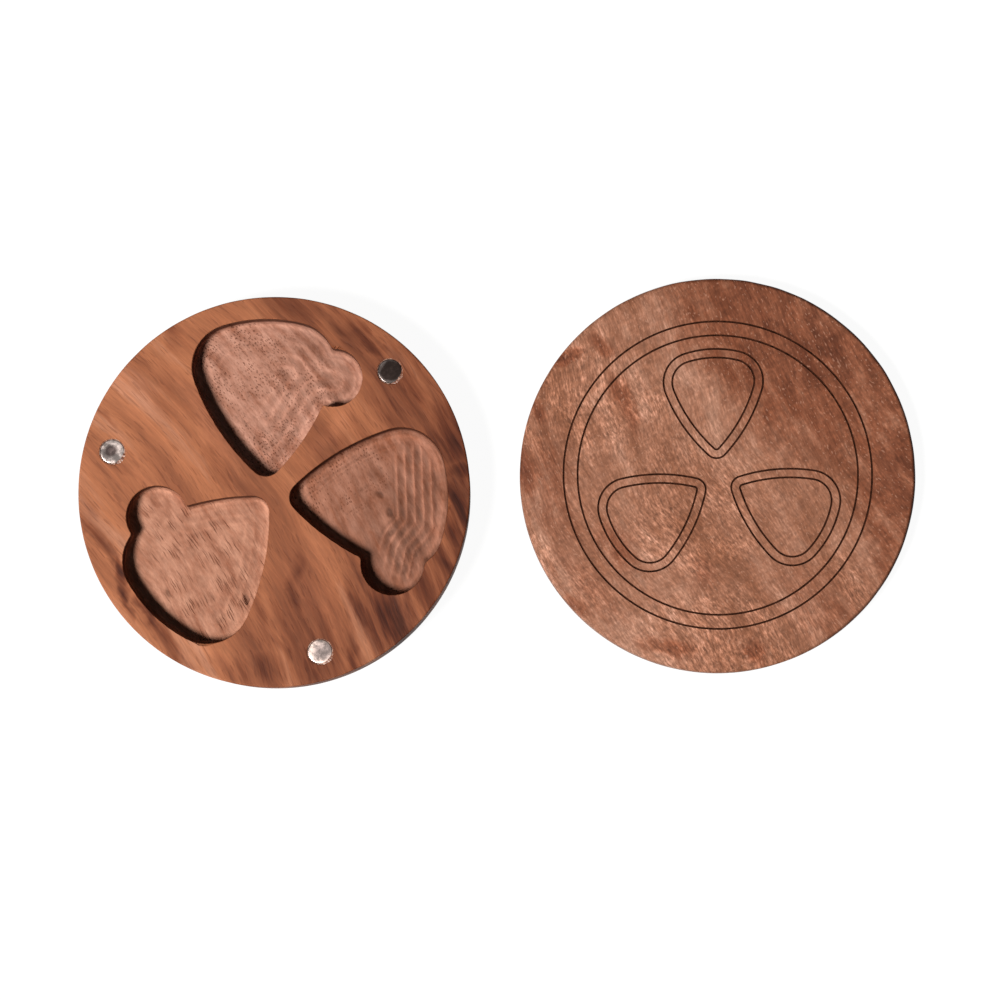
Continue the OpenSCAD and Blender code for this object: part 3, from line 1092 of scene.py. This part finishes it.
# The lid's magnets, which lie level, all have the same plate colour and painted dark reflection
LID_MAGNET_LOOK = ((0.6, 0.56, 0.54), (0.2, 0.18, 0.17), (0.4, 0.3), 2.4)
for i, (*look, tilt, toward) in enumerate(MAGNET_LOOKS):
    plate = nickel(f"nickel_{i + 1}", BASE_MAGNETS[i], *look, i + 1.5)
    magnet = make_magnet(f"base_disc_magnet_{i + 1}", BASE_MAGNETS[i], plate, tilt, toward)
    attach(magnet, "base")
    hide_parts(f"base_magnet_{i + 1}")
    hidden = nickel(f"nickel_under_{i + 1}", LID_MAGNETS[i], *LID_MAGNET_LOOK, i + 4.5)
    under = make_magnet(f"lid_disc_magnet_{i + 1}", LID_MAGNETS[i], hidden, 0, 0)
    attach(under, "lid")
    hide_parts(f"lid_magnet_{i + 1}")
    squeeze = make_glue_ring(f"base_glue_ring_{i + 1}", BASE_MAGNETS[i], BASE_TOP, 1, i + 2, spill=1.0)
    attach(squeeze, "base")
    seam = make_glue_ring(f"lid_glue_ring_{i + 1}", LID_MAGNETS[i], 0, -1, i + 6, spill=0.3)
    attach(seam, "lid")

# The CAD's glue cups and glue drop stay, with this script's glue on them
for name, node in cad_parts.items():
    if "glue" in name:
        node.data.materials.clear()
        node.data.materials.append(glue)

# ---------------------------------------------------------------- floor, light and camera

# Half the floor's width, in metres like the rest of this section
FLOOR_HALF = 4.0


def make_floor():
    """A plain pale floor that glows a little, so that it stays near white round the object."""
    mesh = bpy.data.meshes.new("floor")
    half = FLOOR_HALF
    corners = [(-half, -half, 0), (half, -half, 0), (half, half, 0), (-half, half, 0)]
    mesh.from_pydata(corners, [], [(0, 1, 2, 3)])
    floor = bpy.data.objects.new("floor", mesh)
    bpy.context.scene.collection.objects.link(floor)
    material, _, shader, _ = new_material("pale_table")
    shader.inputs["Base Color"].default_value = (0.07, 0.07, 0.07, 1)
    shader.inputs["Roughness"].default_value = 0.9
    shader.inputs["Specular IOR Level"].default_value = 0.1
    shader.inputs["Emission Color"].default_value = (1, 1, 1, 1)
    shader.inputs["Emission Strength"].default_value = 0.95
    mesh.materials.append(material)


def area_light(name, azimuth, elevation, distance, size, power, target, colour=(1, 1, 1)):
    """A round softbox, aimed at the target from a direction given in degrees."""
    data = bpy.data.lights.new(name, "AREA")
    data.shape = "DISK"
    data.size = size
    data.energy = power
    data.color = colour
    light = bpy.data.objects.new(name, data)
    bpy.context.scene.collection.objects.link(light)
    a, e = math.radians(azimuth), math.radians(elevation)
    step = Vector((math.cos(a) * math.cos(e), math.sin(a) * math.cos(e), math.sin(e)))
    light.location = Vector(target) + step * distance
    light.rotation_euler = (Vector(target) - light.location).to_track_quat("-Z", "Y").to_euler()


# The view: from nearly straight above, turned so that the lid is slightly higher in it
VIEW_TARGET = Vector((0.046, -0.0038, BASE_TOP * MM))
VIEW_ELEVATION = 85.5
VIEW_TURN = -2.46
VIEW_DISTANCE = 0.65
VIEW_WIDTH = 0.20407
SENSOR_WIDTH = 36


def make_camera():
    data = bpy.data.cameras.new("camera")
    data.sensor_width = SENSOR_WIDTH
    data.lens = SENSOR_WIDTH * VIEW_DISTANCE / VIEW_WIDTH
    data.clip_start = 0.01
    data.clip_end = 50
    camera = bpy.data.objects.new("camera", data)
    bpy.context.scene.collection.objects.link(camera)
    tilt = math.radians(90 - VIEW_ELEVATION)
    orient = Matrix.Rotation(math.radians(VIEW_TURN), 4, "Z") @ Matrix.Rotation(tilt, 4, "X")
    back = orient @ Vector((0, 0, VIEW_DISTANCE))
    camera.matrix_world = Matrix.Translation(VIEW_TARGET + back) @ orient
    bpy.context.scene.camera = camera


make_floor()
middle = (LID_X / 2 * MM, 0, 0)
area_light("key_softbox", 212, 59, 1.6, 0.36, 47, middle, (1.0, 0.97, 0.93))
area_light("overhead_fill", 90, 86, 1.9, 1.1, 1.1, middle)
make_camera()

world = bpy.data.worlds.new("studio")
world.use_nodes = True
background = world.node_tree.nodes["Background"]
background.inputs["Color"].default_value = (1, 1, 1, 1)
background.inputs["Strength"].default_value = 0.012
bpy.context.scene.world = world
bpy.context.scene.view_settings.view_transform = "Standard"
